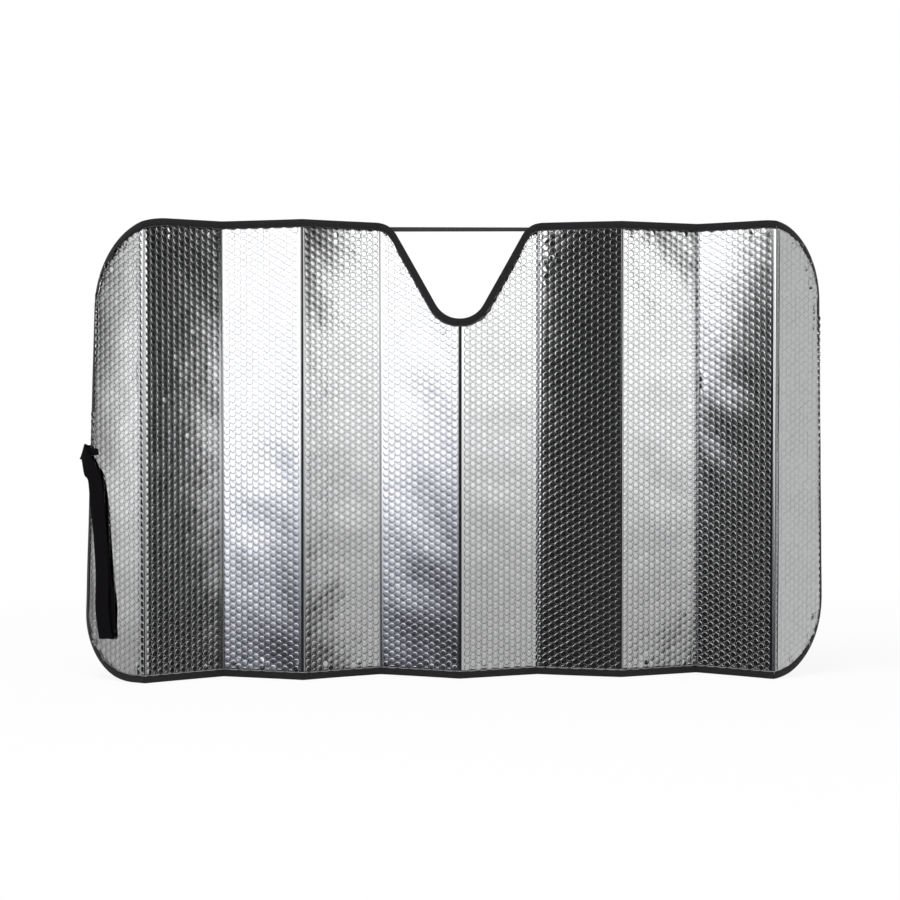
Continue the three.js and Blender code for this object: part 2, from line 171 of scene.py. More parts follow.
def fold_edge(u):
    """How far the film's sharper fold stands off the middle line's arc: from the arc's centre, the
    two panels' planes lie at radius over cosine of the angle left to turn."""
    k = np.abs(u[..., None] - FOLDS).argmin(-1)
    turn = np.abs(RUN_TURN[1::2][k])
    radius = 2 * CREASE_HALF / turn
    left = turn / 2 - np.sqrt(((u - FOLDS[k]) / radius) ** 2 + CREASE_ROUND**2)
    return np.sign(RUN_TURN[1::2][k]) * radius * (1 / np.cos(np.clip(left, 0, None)) - 1)


def smooth(low, high, x):
    """Smooth step from 0 at low to 1 at high."""
    t = np.clip((x - low) / (high - low), 0, 1)
    return t * t * (3 - 2 * t)


def relief(u, v):
    """How far the sheet stands in front of its folded planes: a parabola across each panel, plus
    a sum of long sine waves that dies away at the creases."""
    k = np.clip(np.searchsorted(FOLDS, u), 0, 9)
    share = (u - KNOTS[k]) / PANEL
    bow = PANEL_BOW[k] * 4 * share * (1 - share)
    waves = sum(
        size * np.sin(TAU * (u * np.cos(way) + v * np.sin(way)) / length + phase)
        for size, way, length, phase in WAVES
    )
    return bow + fold_edge(u) + WAVE_HEIGHT * waves * smooth(CREASE_REACH, WAVES_FADE, crease_distance(u))


def sheet_point(u, v, w):
    """Folded place of points of the sheet: the middle line's place in plan, with w and the relief
    added along its normal."""
    x, y, heading = plan(u)
    w = w + relief(u, v)
    x = x - PLAN_ORIGIN[0] + w * np.sin(heading)
    y = y - PLAN_ORIGIN[1] - w * np.cos(heading)
    return np.stack([x, y, v + 0 * x], -1)


def corner_arc(before, corner, after, radius):
    """Points of a rounded corner, evenly apart: the circle that touches both of its sides."""
    a = (corner - before) / np.linalg.norm(corner - before)
    b = (after - corner) / np.linalg.norm(after - corner)
    turn = math.atan2(a[0] * b[1] - a[1] * b[0], a @ b)
    side = math.copysign(1, turn)
    start = corner - a * radius * math.tan(abs(turn) / 2)
    centre = start + side * radius * np.array([-a[1], a[0]])
    first = math.atan2(start[1] - centre[1], start[0] - centre[0])
    angle = first + np.linspace(0, turn, int(abs(turn) * radius / POINT_SPACING) + 2)
    return centre + radius * np.stack([np.cos(angle), np.sin(angle)], -1)


def outline_edge(corners, radii):
    """Points of an edge of the sheet from its first rounded corner to its last, evenly apart, with
    the unit direction of travel and the distance along it."""
    corners = np.array(corners, float)
    arcs = [corner_arc(*corners[k : k + 3], radius) for k, radius in enumerate(radii)]
    pieces = [arcs[0]]
    for before, after in zip(arcs, arcs[1:]):
        gap = np.linalg.norm(after[0] - before[-1])
        share = np.linspace(0, 1, int(gap / POINT_SPACING) + 2)[1:-1, None]
        pieces += [before[-1] + share * (after[0] - before[-1]), after]
    points = np.concatenate(pieces)
    along = np.gradient(points, axis=0)
    along /= np.linalg.norm(along, axis=1, keepdims=True)
    distance = np.concatenate([[0], np.cumsum(np.linalg.norm(np.diff(points, axis=0), axis=1))])
    return points, along, distance


def notch_corners():
    """The notch's two mouth corners and its sharp foot, before rounding."""
    foot = NOTCH_DEPTH + NOTCH_FLOOR * (1 / math.sin(NOTCH_FLANK) - 1)
    mouth = foot * math.tan(NOTCH_FLANK)
    return [(-mouth, SHEET_HEIGHT), (0, SHEET_HEIGHT - foot), (mouth, SHEET_HEIGHT)]


LEFT_SIDE = [(LEFT_BOTTOM, 0), (LEFT_TOP, SHEET_HEIGHT)]
RIGHT_SIDE = [(RIGHT_TOP, SHEET_HEIGHT), (RIGHT_BOTTOM, 0)]
TOP_RADII = [TOP_LEFT_RADIUS, NOTCH_SHOULDER, NOTCH_FLOOR, NOTCH_SHOULDER, TOP_RIGHT_RADIUS]
FOOT_RADII = [FOOT_LEFT_RADIUS, FOOT_RIGHT_RADIUS]
TOP_EDGE = outline_edge(LEFT_SIDE + notch_corners() + RIGHT_SIDE, TOP_RADII)
FOOT_EDGE = outline_edge(LEFT_SIDE[::-1] + RIGHT_SIDE[::-1], FOOT_RADII)


def stations(edge, distances, side):
    """Points of an edge at distances along it, with the unit direction into the sheet."""
    points, along, run = edge
    x, y, ax, ay = (np.interp(distances, run, column) for column in (*points.T, *along.T))
    inward = np.stack([-ay * side, ax * side], -1)
    return np.stack([x, y], -1), inward / np.linalg.norm(inward, axis=1, keepdims=True)


def distance_at(edge, u):
    """Distance along an edge at u, as far out as u rises steadily along it."""
    points, _, run = edge
    middle = np.abs(points[:, 0]) < STEADY_END
    return np.interp(u, points[middle, 0], run[middle])


def upright_stations(edge, u, side):
    """Points of an edge at u, with an upright direction into the sheet, as long as it takes to
    go a unit in from the edge."""
    place, inward = stations(edge, distance_at(edge, u), side)
    return np.stack([u, place[:, 1]], -1), np.stack([0 * u, 1 / inward[:, 1]], -1)


def rim_point(place, inward, depth, w):
    """A point of the rim, depth in from the outline. On the upright sides the rim is turned back
    about the line where the bubbles reach their full height."""
    on_end = np.abs(place[..., 0]) > LAST_FOLD + CREASE_REACH
    upright = np.clip((np.abs(inward[..., 0]) - LEAN_START) / (1 - LEAN_START), 0, 1)
    lean = SIDE_LEAN * upright * on_end
    reach = FACE_INSET - depth
    flat_depth = FACE_INSET - reach * np.cos(lean) - w * np.sin(lean)
    point = place + inward * flat_depth[..., None]
    return sheet_point(point[..., 0], point[..., 1], w * np.cos(lean) - reach * np.sin(lean))


# Meshes


def make_mesh(name, points, faces, attributes=None):
    """A mesh object from points in millimetres and lists of corner numbers."""
    mesh = bpy.data.meshes.new(name)
    mesh.from_pydata((points.reshape(-1, 3) * MM).tolist(), [], faces)
    mesh.polygons.foreach_set("use_smooth", np.full(len(mesh.polygons), True))
    for key, values in (attributes or {}).items():
        layer = mesh.attributes.new(key, "FLOAT", "POINT")
        layer.data.foreach_set("value", np.asarray(values, np.float32).ravel())
    mesh.update()
    piece = bpy.data.objects.new(name, mesh)
    bpy.context.collection.objects.link(piece)
    return piece


def grid_faces(rows, columns, wrap_rows=False, wrap_columns=False, start=0):
    """Quads of a grid of rows by columns of points, wrapped round where asked."""
    r = np.arange(rows if wrap_rows else rows - 1)[:, None]
    c = np.arange(columns if wrap_columns else columns - 1)[None, :]
    r2, c2 = (r + 1) % rows, (c + 1) % columns
    quads = np.stack([r * columns + c, r * columns + c2, r2 * columns + c2, r2 * columns + c], -1)
    return (start + quads.reshape(-1, 4)).tolist()


# Film: the closed base sheet

END_COLUMNS, PANEL_COLUMNS, FIELD_ROWS = 26, 14, 84
RIM_DEPTHS = np.array([1.1, 6.0, 12.0, 12.7, 13.5])
CREASE_SIDE = np.array([0.3, 0.8, 1.3, 1.6, 1.9, 2.2, 2.5, 3.0, 4.0])
CREASE_OFFSETS = np.concatenate([-CREASE_SIDE[::-1], [0], CREASE_SIDE])

# The groove on both sides of each fold, and the vee along the middle of some folds
GROOVE_PLACE = 1.9
GROOVE_WIDTH = np.array([0.4, 0.4, 0.4, 0.4, 0.4, 0.4, 0.4, 0.6, 0.4])
GROOVE_DEPTH = np.array([0.14, 0.14, 0.1, 0.14, 0.1, 0.14, 0.14, 0.35, 0.14])
VEE_DEPTH = np.array([0, 0, 0.5, 0.1, 0.5, 0, 0, 0, 0])
VEE_HALF = 2.4


def face_height(u, edge_depth):
    """Height of the film's face: pressed flat under the tape and raised over the air cells, less
    a bell curve on both sides of each fold and a straight-sided vee along the middle of some."""
    fold = np.abs(u[..., None] - FOLDS).argmin(-1)
    apart = crease_distance(u)
    groove = GROOVE_DEPTH[fold] * np.exp(-(((apart - GROOVE_PLACE) / GROOVE_WIDTH[fold]) ** 2))
    groove = groove + VEE_DEPTH[fold] * np.clip(1 - apart / VEE_HALF, 0, 1)
    inside_tape = smooth(RAMP_START, RAMP_END, edge_depth)
    return FILM_FRONT + (FACE_LEVEL - FILM_FRONT) * inside_tape - groove


def film_columns():
    """Columns of the film from left to right: slanting ones that share out the rounded corners at
    each end, and upright ones between the first fold and the last, close together on the folds.
    Each has its top station and its bottom station."""
    reach = LAST_FOLD + CREASE_REACH
    between = np.linspace(CREASE_REACH, PANEL - CREASE_REACH, PANEL_COLUMNS)[1:-1]
    field = (FOLDS[:-1, None] + between).ravel()
    crease = (FOLDS[:, None] + CREASE_OFFSETS).ravel()
    u = np.sort(np.concatenate([field, crease]))
    share = np.arange(END_COLUMNS) / END_COLUMNS
    sides = []
    for edge, side in ((TOP_EDGE, -1), (FOOT_EDGE, 1)):
        low, high = distance_at(edge, [-reach, reach])
        left = stations(edge, low * share, side)
        right = stations(edge, high + (edge[2][-1] - high) * (1 - share[::-1]), side)
        centre = upright_stations(edge, u, side)
        sides.append([np.concatenate(parts) for parts in zip(left, centre, right)])
    return sides


def film_faces(count, rows):
    """Faces of the film's two grids, and of the skirt that joins them along their common rim."""
    front = grid_faces(count, rows)
    back = [face[::-1] for face in grid_faces(count, rows, start=count * rows)]
    rim = np.concatenate([
        np.arange(count) * rows,
        (count - 1) * rows + np.arange(1, rows),
        np.arange(count - 2, -1, -1) * rows + rows - 1,
        np.arange(rows - 2, 0, -1),
    ])
    after = np.roll(rim, -1)
    skirt = np.stack([rim, rim + count * rows, after + count * rows, after], -1).tolist()
    return front + back + skirt


def film_sheet():
    """The film: each column's points run from the top edge to the foot, first square in from the
    outline and then straight across the field. The back is the same grid, pressed flat. Each
    point keeps its flat place and whether it is on the back."""
    (top, top_in), (foot, foot_in) = film_columns()
    share = np.linspace(0, 1, FIELD_ROWS)[None, :, None]
    upper = (top + top_in * FACE_INSET)[:, None, :]
    lower = (foot + foot_in * FACE_INSET)[:, None, :]
    flat = upper + share * (lower - upper)
    sides = []
    for front in (True, False):
        above = [rim_face(top, top_in, depth, front) for depth in RIM_DEPTHS]
        below = [rim_face(foot, foot_in, depth, front) for depth in RIM_DEPTHS[::-1]]
        w = face_height(flat[..., 0], FACE_INSET) if front else FILM_BACK + 0 * flat[..., 0]
        field = sheet_point(flat[..., 0], flat[..., 1], w)
        sides.append(np.concatenate([np.stack(above, 1), field, np.stack(below, 1)], 1))
    above = top[:, None] + top_in[:, None] * RIM_DEPTHS[:, None]
    below = foot[:, None] + foot_in[:, None] * RIM_DEPTHS[::-1, None]
    across, up = np.concatenate([above, flat, below], 1).transpose(2, 0, 1)
    attributes = {
        "across_sheet": np.tile(across.ravel(), 2) * MM,
        "up_sheet": np.tile(up.ravel(), 2) * MM,
        "on_back": np.repeat([0.0, 1.0], up.size),
    }
    return make_mesh("foil_film", np.stack(sides), film_faces(*up.shape), attributes)


def rim_face(place, inward, depth, front):
    """Points of the film's rim at one depth in from the outline, on its face or its back."""
    u = place[:, 0] + inward[:, 0] * depth
    w = face_height(u, depth) if front else FILM_BACK + 0 * u
    return rim_point(place, inward, np.full(len(place), depth), w)


# Bubbles

# Rings of one bubble from its flat top to its foot: radius, and height above the film's face
BUBBLE_RINGS = np.array([[4.2, 0.248], [4.85, 0.235], [5.45, 0.17], [6.0, -0.04]])
BUBBLE_TOP = 0.25

# How much the bubbles vary in size, place, tilt and height, and how far they sink beside a fold
SIZE_SPREAD, PLACE_SPREAD, TILT_SPREAD, HEIGHT_SPREAD = 0.01, 0.05, 0.003, 0.1
PRESSED_REACH, PRESSED_DEPTH = 1.6, 0.08

# How far in from the outline, and from a fold's groove, the outermost bubbles have their centres
CLEAR_OF_EDGE, CLEAR_OF_GROOVE = TAPE_WIDTH - 1.5, 0.8

# How high the bubbles of each panel still stand
BUBBLE_STAND = np.array([0.9, 1, 1, 1, 1, 0.95, 1, 0.95, 1, 0.15])

# Small ridges where the laminate has wrinkled, each a broken line of u and v, and how far apart
# the short ones stand that the tape's seam draws in
RIDGES = [
    [(157, 790), (172, 776), (160, 764), (178, 746), (182, 734)],
    [(175, 772), (168, 752), (172, 736)],
    [(152, 736), (168, 716), (158, 702), (166, 690)],
    [(455, 547), (463, 520), (457, 493)],
    [(676, 750), (690, 716), (684, 690)],
    [(694, 702), (700, 652), (696, 616)],
]
RIDGE_HEIGHT, RIDGE_WIDTH, RIDGES_FADE = 0.32, 3.2, 6.0
PUCKER_START, PUCKER_PITCH, PUCKER_SHIFT, PUCKER_REACH = 20, 60.0, 12, (6, 18)

# Points along each straight side of the outline, points whose distance is worked out at a time,
# how close to the rim a bubble's points need their own distance, and what stands for a far one
SIDE_POINTS, BLOCK, RIM_REACH, FAR = 120, 4000, 8, 99.0


def outline_points():
    """Points of the whole outline, with the two sides filled in."""
    top, foot = TOP_EDGE[0], FOOT_EDGE[0]
    share = np.linspace(0, 1, SIDE_POINTS)[:, None]
    left = foot[0] + share * (top[0] - foot[0])
    right = top[-1] + share * (foot[-1] - top[-1])
    return np.concatenate([top, right, foot, left])


def inside_sheet(points, outline_top, outline_foot):
    """Whether points lie between the two edges at their own u."""
    top = np.interp(points[:, 0], outline_top[:, 0], outline_top[:, 1], left=-1, right=-1)
    foot = np.interp(points[:, 0], outline_foot[:, 0], outline_foot[:, 1], left=9999, right=9999)
    return (points[:, 1] < top) & (points[:, 1] > foot)


def edge_distance(points, outline):
    """Distance of points to the outline's nearest point, in blocks of rows."""
    return np.concatenate([
        np.sqrt(((block[:, None, :] - outline) ** 2).sum(-1).min(1))
        for block in np.array_split(points, max(1, len(points) // BLOCK))
    ])


def bubble_centres():
    """Centres of the lattice inside the sheet, with their distance to the outline: upright
    columns, each half a pitch up from the next."""
    columns = np.arange(-LATTICE_COLUMNS, LATTICE_COLUMNS + 1)
    c, r = np.meshgrid(columns, np.arange(LATTICE_ROWS), indexing="ij")
    u, v = c * BUBBLE_COLUMN + LATTICE_START, (r + 0.5 * (c % 2)) * BUBBLE_PITCH
    centres = np.stack([u, v], -1).reshape(-1, 2)
    centres = centres[inside_sheet(centres, TOP_EDGE[0], FOOT_EDGE[0])]
    distance = edge_distance(centres, outline_points())
    off_fold = crease_distance(centres[:, 0]) > GROOVE_PLACE + CLEAR_OF_GROOVE
    clear = (distance > CLEAR_OF_EDGE) & off_fold
    return centres[clear], distance[clear]


def puckers():
    """Short ridges that run in from the tape's inner edge, square to it."""
    lines = []
    for edge, side in ((TOP_EDGE, -1), (FOOT_EDGE, 1)):
        distances = np.arange(PUCKER_START, edge[2][-1], PUCKER_PITCH)
        distances = distances + rng.uniform(-PUCKER_SHIFT, PUCKER_SHIFT, len(distances))
        place, inward = stations(edge, distances, side)
        reach = TAPE_WIDTH + rng.uniform(*PUCKER_REACH, (len(distances), 1))
        lines += list(zip(place + inward * TAPE_WIDTH, place + inward * reach))
    return lines


def ridge_height(points):
    """Height of the ridges at flat points: a bell curve of the distance to the nearest of them."""
    bell = np.zeros(points.shape[:-1])
    for line in RIDGES + puckers():
        for a, b in zip(line, line[1:]):
            a, b = np.array(a, float), np.array(b, float)
            share = np.clip((points - a) @ (b - a) / ((b - a) @ (b - a)), 0, 1)
            distance = np.linalg.norm(points - a - share[..., None] * (b - a), axis=-1)
            bell = np.maximum(bell, np.exp(-((distance / RIDGE_WIDTH) ** 2)))
    return RIDGE_HEIGHT * bell


def bubble_points(centres, distance):
    """Folded points of every bubble, a row for each: rings about its centre on the film's face,
    each bubble a little larger, higher or more tilted than the next, and sunk beside a fold."""
    count = len(centres)
    angle = np.arange(BUBBLE_SIDES) * TAU / BUBBLE_SIDES
    ring = np.stack([np.cos(angle), np.sin(angle)], -1)
    offsets = np.concatenate([[[0, 0]], (BUBBLE_RINGS[:, :1, None] * ring).reshape(-1, 2)])
    heights = np.concatenate([[BUBBLE_TOP], np.repeat(BUBBLE_RINGS[:, 1], BUBBLE_SIDES)])
    size = rng.normal(1, SIZE_SPREAD, (count, 1, 1))
    points = centres[:, None, :] + offsets * size + rng.normal(0, PLACE_SPREAD, (count, 1, 2))
    tilt = rng.normal(0, TILT_SPREAD, (count, 1, 2))
    panel = np.searchsorted(FOLDS, centres[:, 0])
    stand = BUBBLE_STAND[panel][:, None] * rng.normal(1, HEIGHT_SPREAD, (count, 1))
    height = heights * stand + (offsets * tilt).sum(-1) * (heights > 0)
    edge = np.full(height.shape, FAR)
    near = distance < FACE_INSET + RIM_REACH
    close = points[near]
    edge[near] = edge_distance(close.reshape(-1, 2), outline_points()).reshape(close.shape[:2])
    full = smooth(GROOVE_PLACE, GROOVE_PLACE + PRESSED_REACH, crease_distance(points[..., 0]))
    w = face_height(points[..., 0], edge) + height * full - PRESSED_DEPTH * (1 - full)
    w = w + ridge_height(points) * full * smooth(TAPE_WIDTH, TAPE_WIDTH + RIDGES_FADE, edge)
    return sheet_point(points[..., 0], points[..., 1], w), panel


def bubble_faces():
    """Faces of one bubble, in lists of a kind: the flat top's fan, the walls between its rings
    and its foot."""
    here = 1 + np.arange(BUBBLE_SIDES)
    after = 1 + (np.arange(BUBBLE_SIDES) + 1) % BUBBLE_SIDES
    top = [[0, a, b] for a, b in zip(here, after)]
    wall = [
        [a, a + BUBBLE_SIDES, b + BUBBLE_SIDES, b]
        for k in range(len(BUBBLE_RINGS) - 1)
        for a, b in zip(here + k * BUBBLE_SIDES, after + k * BUBBLE_SIDES)
    ]
    last = len(BUBBLE_RINGS) * BUBBLE_SIDES
    foot = [list(range(last, last - BUBBLE_SIDES, -1))]
    return top, wall, foot


def make_bubbles():
    """One mesh of low flat-topped domes for each panel."""
    solid, panel = bubble_points(*bubble_centres())
    pieces = []
    for k in range(len(HEADINGS)):
        mine = solid[panel == k]
        starts = np.arange(len(mine))[:, None, None] * solid.shape[1]
        faces = [
            face
            for kind in bubble_faces()
            for face in (starts + np.array(kind)).reshape(-1, len(kind[0])).tolist()
        ]
        pieces.append(make_mesh(f"bubbles_{k + 1}", mine, faces))
    return pieces


# Tape, stitches, elastic and strap

TAPE_STEP, TAPE_SHOULDER, HEM_HEIGHT = 5.0, 7, 1.3
UNEVEN_SIZES, UNEVEN_LENGTHS = (0.22, 0.18), (9.1, 23.7)
PUFF_SIZE, PUFF_LENGTH = 0.12, 6.3
STITCH_DEPTH, STITCH_SPACING, STITCH_LIFT, STITCH_SIDES = 10.2, 4.2, 0.05, 6
STITCH_ALONG = np.array([-1.35, -1.05, 0, 1.05, 1.35])
STITCH_THICK = np.array([0.02, 0.28, 0.36, 0.28, 0.02])


def ring_stations(spacing):
    """Stations right round the outline, anticlockwise as the shiny face is seen: the foot edge to
    the right, up the right side, the top edge to the left and down the left side."""
    parts = []
    for edge, side, way, end in (
        (FOOT_EDGE, 1, 1, TOP_EDGE[0][-1]),
        (TOP_EDGE, -1, -1, FOOT_EDGE[0][0]),
    ):
        length = edge[2][-1]
        distances = np.linspace(0, length, int(length / spacing))
        place, inward = stations(edge, distances[::way], side)
        gap = np.linalg.norm(end - place[-1])
        share = np.linspace(0, 1, int(gap / spacing))[1:-1, None]
        straight = place[-1] + share * (end - place[-1])
        parts += [(place, inward), (straight, np.repeat(inward[-1:], len(straight), 0))]
    return np.concatenate([p for p, _ in parts]), np.concatenate([n for _, n in parts])


def tape_section():
    """Section of the folded tape as depth in from the outline and height in front of the sheet's
    middle: the back from its inner edge out, a half circle, the face, and back along the inside."""
    turn = np.radians(np.linspace(-90, 90, 7))
    round_edge = np.stack([TAPE_OUTER - TAPE_OUTER * np.cos(turn), TAPE_OUTER * np.sin(turn)], -1)
    hem = TAPE_WIDTH - TAPE_HEM
    back = [(TAPE_WIDTH, -HEM_HEIGHT), (hem, -TAPE_OUTER), (TAPE_SHOULDER, -TAPE_OUTER)]
    face = [(TAPE_SHOULDER, TAPE_OUTER), (hem, TAPE_OUTER), (TAPE_WIDTH, HEM_HEIGHT)]
    inner = [(TAPE_WIDTH, TAPE_INNER), (2, TAPE_INNER), (1, 0.5)]
    inside = inner + [(depth, -w) for depth, w in inner[::-1]]
    return np.concatenate([back, round_edge, face, inside]).T


def edge_tape():
    """The tape: its section carried round the outline, with two sine waves on its inner edges and
    one on the height of its two faces."""
    place, inward = ring_stations(TAPE_STEP)
    depth, w = tape_section()
    travel = np.arange(len(place)) * TAPE_STEP
    (short_size, long_size), (short, long) = UNEVEN_SIZES, UNEVEN_LENGTHS
    uneven = short_size * np.sin(travel / short) + long_size * np.sin(travel / long + 1)
    depths = depth + np.where(depth > TAPE_SHOULDER, 1, 0) * uneven[:, None]
    outward = np.where(np.abs(w) >= HEM_HEIGHT, np.sign(w), 0) * (depth >= TAPE_SHOULDER)
    puff = PUFF_SIZE * np.sin(travel / PUFF_LENGTH)[:, None] * outward
    place, inward = (np.repeat(part[:, None], len(depth), 1) for part in (place, inward))
    solid = rim_point(place, inward, depths, w + puff)
    faces = grid_faces(len(place), len(depth), wrap_rows=True, wrap_columns=True)
    return make_mesh("binding_tape", solid, faces)


def tape_stitches():
    """A row of stitches on both faces of the tape: small bars that lie along it, each a spindle
    of six sides that swells to the middle."""
    place, inward = ring_stations(1.0)
    travel = np.concatenate([[0], np.cumsum(np.linalg.norm(np.diff(place, axis=0), axis=1))])
    s = np.arange(0, travel[-1], STITCH_SPACING)[:, None] + STITCH_ALONG
    at, into = (
        np.stack([np.interp(s, travel, column) for column in part.T], -1) for part in (place, inward)
    )
    at, into = (np.repeat(part[:, :, None], STITCH_SIDES, 2) for part in (at, into))
    angle = np.arange(STITCH_SIDES) * TAU / STITCH_SIDES
    across = STITCH_THICK[None, :, None] * np.cos(angle)
    lift = STITCH_THICK[None, :, None] * np.sin(angle)
    solids = []
    for side in (1, -1):
        w = side * (TAPE_OUTER + STITCH_LIFT) + lift + 0 * s[..., None]
        solids.append(rim_point(at, into, STITCH_DEPTH + across + 0 * w, w))
    solid = np.concatenate(solids)
    each = len(STITCH_ALONG) * STITCH_SIDES
    starts = np.arange(len(solid))[:, None, None] * each
    quads = np.array(grid_faces(len(STITCH_ALONG), STITCH_SIDES, wrap_columns=True))[:, ::-1]
    ends = np.array([range(STITCH_SIDES), range(each - 1, each - 1 - STITCH_SIDES, -1)])
    faces = (starts + quads).reshape(-1, 4).tolist() + (starts + ends).reshape(-1, STITCH_SIDES).tolist()
    return make_mesh("tape_stitches", solid, faces)


def smooth_path(points, per_span):
    """Points along Catmull-Rom curves through the given ones, which are rows of an array."""
    padded = np.concatenate([2 * points[:1] - points[1:2], points, 2 * points[-1:] - points[-2:-1]])
    t = (np.arange(per_span) / per_span).reshape(-1, *[1] * (points.ndim - 1))
    spans = []
    for a, b, c, d in zip(padded, padded[1:], padded[2:], padded[3:]):
        spans.append(
            b + 0.5 * t * (c - a + t * (2 * a - 5 * b + 4 * c - d + t * (3 * (b - c) + d - a)))
        )
    return np.concatenate(spans + [points[-1:]])


BAND_POINTS, BAND_CORNER = 9, 0.55


def band(name, lines, thickness):
    """A flat band of webbing through the lines across it: a rounded rectangle carried along."""
    left, right = lines[:, 0], lines[:, 1]
    centre = (left + right) / 2
    across = right - left
    half = np.linalg.norm(across, axis=1, keepdims=True) / 2
    across = across / (2 * half)
    travel = np.gradient(centre, axis=0)
    normal = np.cross(travel, across)
    normal /= np.linalg.norm(normal, axis=1, keepdims=True)
    inset = thickness / 2
    side = np.linspace(-1, 1, BAND_POINTS)
    face = np.ones(BAND_POINTS)
    corner = np.array([-BAND_CORNER, 0.0, BAND_CORNER])
    share = np.concatenate([side, [1, 1, 1], side[::-1], [-1, -1, -1]])
    height = np.concatenate([-face, corner, face, corner[::-1]])
    flat = np.abs(height) == 1.0
    out = share * (half - inset * flat)
    points = centre[:, None] + across[:, None] * out[..., None] + normal[:, None] * (height * inset)[:, None]
    count, size = len(lines), len(share)
    faces = grid_faces(count, size, wrap_columns=True)
    caps = [list(range(size))[::-1], list(range((count - 1) * size, count * size))]
    return make_mesh(name, points, faces + caps)


# How wide the elastic is at the ends of its sewn tabs and of its free span, as a share
ELASTIC_WIDEN = np.array([1.25, 1.15, 1.0, 1.05])
ELASTIC = {"width": 7.0, "thickness": 1.5, "height": 788.0, "tab": 13.0, "lines": 40}


def notch_elastic():
    """The elastic: sewn behind the tape on both flanks of the notch, straight between them."""
    behind = -(TAPE_OUTER + BEHIND_TAPE + ELASTIC["thickness"] / 2)
    end = PANEL - CREASE_REACH
    ends = np.array([-end, -end + ELASTIC["tab"]])
    u = np.concatenate([ends, -ends[::-1]])[:, None]
    half = ELASTIC["width"] / 2 * np.array([1, -1])
    v = ELASTIC["height"] + half * ELASTIC_WIDEN[:, None]
    lines = sheet_point(u + 0 * half, v, np.full((4, 2), behind))
    share = np.linspace(0, 1, ELASTIC["lines"])[:, None, None]
    span = lines[1] + share * (lines[2] - lines[1])
    lines = np.concatenate([lines[:1], span, lines[3:]])
    return band("mirror_elastic", lines, ELASTIC["thickness"])


STRAP = {"width": 30.0, "thickness": 1.4, "sewn": 393.0, "tab": 10.0, "gap": 0.5, "standoff": 2.1}

# Lines across the strap's slanting fold, in strap widths: for its lower and its upper end how far
# out from the edge and how far in front of the sheet, then how the outer layer stands off
STRAP_FOLD = [
    (0.5, -0.27, 0.07, -0.34, 0.3, -1),
    (0.69, -0.15, 0.11, -0.14, 1, 0),
    (0.4, 0, 0.06, 0.14, 0.3, 1),
]

# Places along the hanging strap: shares of how far down and how far in from the edge, then how far
# the outer layer fans out to the side in widths, and how far it stands off in thicknesses
STRAP_RUN = np.array([
    [0.086, 0.18, 0, 0], [0.137, 0.35, 0.06, 0], [0.289, 0.47, 0.18, 0.7], [0.47, 0.64, 0.06, 0.7],
    [0.67, 0.83, -0.06, 1.4], [0.844, 1, -0.32, 2.9], [1, 1, -0.03, 2.1],
])
STRAP_HANG, STRAP_END_INSET = 315.0, 62.0
PAST_EDGE, FOLD_RAISED, LINES_PER_SPAN = 1.0, 5, 6

# The short band on the face beside the strap's fold, partly its sewn tab and partly painted shade for
# its dark reflection and shadow: the heights of its two sides from the strap's middle and how they
# change to its inner end, how long its sides are, and how far it starts in from the edge and off the tape
TAB_SHADE_SIDES, TAB_SHADE_NARROWING, TAB_SHADE_LENGTHS = np.array([-3.0, 12.0]), np.array([1.5, -2.5]), np.array([25.0, 22.0])
TAB_SHADE_START, TAB_SHADE_STANDOFF, TAB_SHADE_RISE, TAB_SHADE_THICKNESS = 1.5, 1.0, FACE_HEIGHT - TAPE_OUTER + 0.3, 1.2


def left_edge(v):
    """The straight left edge's u at height v."""
    return LEFT_BOTTOM + (LEFT_TOP - LEFT_BOTTOM) * v / SHEET_HEIGHT


def strap_lines(outer):
    """Lines across one layer of the strap, from its sewn end behind the edge, round its slanting
    fold and down the front, where each line is square to the way between its neighbours."""
    apart = 1 if outer else 0
    half, thick = STRAP["width"] / 2, STRAP["thickness"]
    over = apart * (thick + STRAP["gap"])
    low, high = STRAP["sewn"] - half, STRAP["sewn"] + half
    behind = TAPE_OUTER + BEHIND_TAPE + thick / 2 + over
    along = np.array([LEFT_TOP - LEFT_BOTTOM, SHEET_HEIGHT])
    along = along / np.linalg.norm(along)
    inward = np.array([[along[1], -along[0]]] * 2)
    edge = np.array([[left_edge(low), low], [left_edge(high), high]])
    sewn = [
        rim_point(edge, inward, np.full(2, depth), np.full(2, -behind))
        for depth in (STRAP["tab"], -PAST_EDGE)
    ]
    fold = []
    for low_out, low_front, high_out, high_front, out, front in STRAP_FOLD:
        v = np.array([low + FOLD_RAISED, high])
        u = left_edge(v) - np.array([low_out, high_out]) * STRAP["width"] - over * out
        w = np.array([low_front, high_front]) * STRAP["width"] + over * front
        fold.append(sheet_point(u, v, w))
    down, inset, fan, spread = STRAP_RUN.T
    v = STRAP["sewn"] - down * STRAP_HANG
    u = left_edge(v) + inset * STRAP_END_INSET + apart * fan * STRAP["width"]
    w = FACE_HEIGHT + STRAP["standoff"] + thick / 2 + over + apart * spread * thick
    ends = np.clip(np.arange(len(v))[:, None] + [-1, 1], 0, len(v) - 1)
    way = np.stack([u[ends[:, 1]] - u[ends[:, 0]], v[ends[:, 1]] - v[ends[:, 0]]], -1)
    way /= np.linalg.norm(way, axis=1, keepdims=True)
    reach = np.stack([-way[:, 1], way[:, 0]], -1) * half
    sides = np.array([-1, 1])
    u, v = (at[:, None] + sides * part[:, None] for at, part in zip((u, v), reach.T))
    hanging = sheet_point(u, v, w[:, None] + 0 * sides)
    return np.concatenate([np.array(sewn), np.array(fold), hanging])


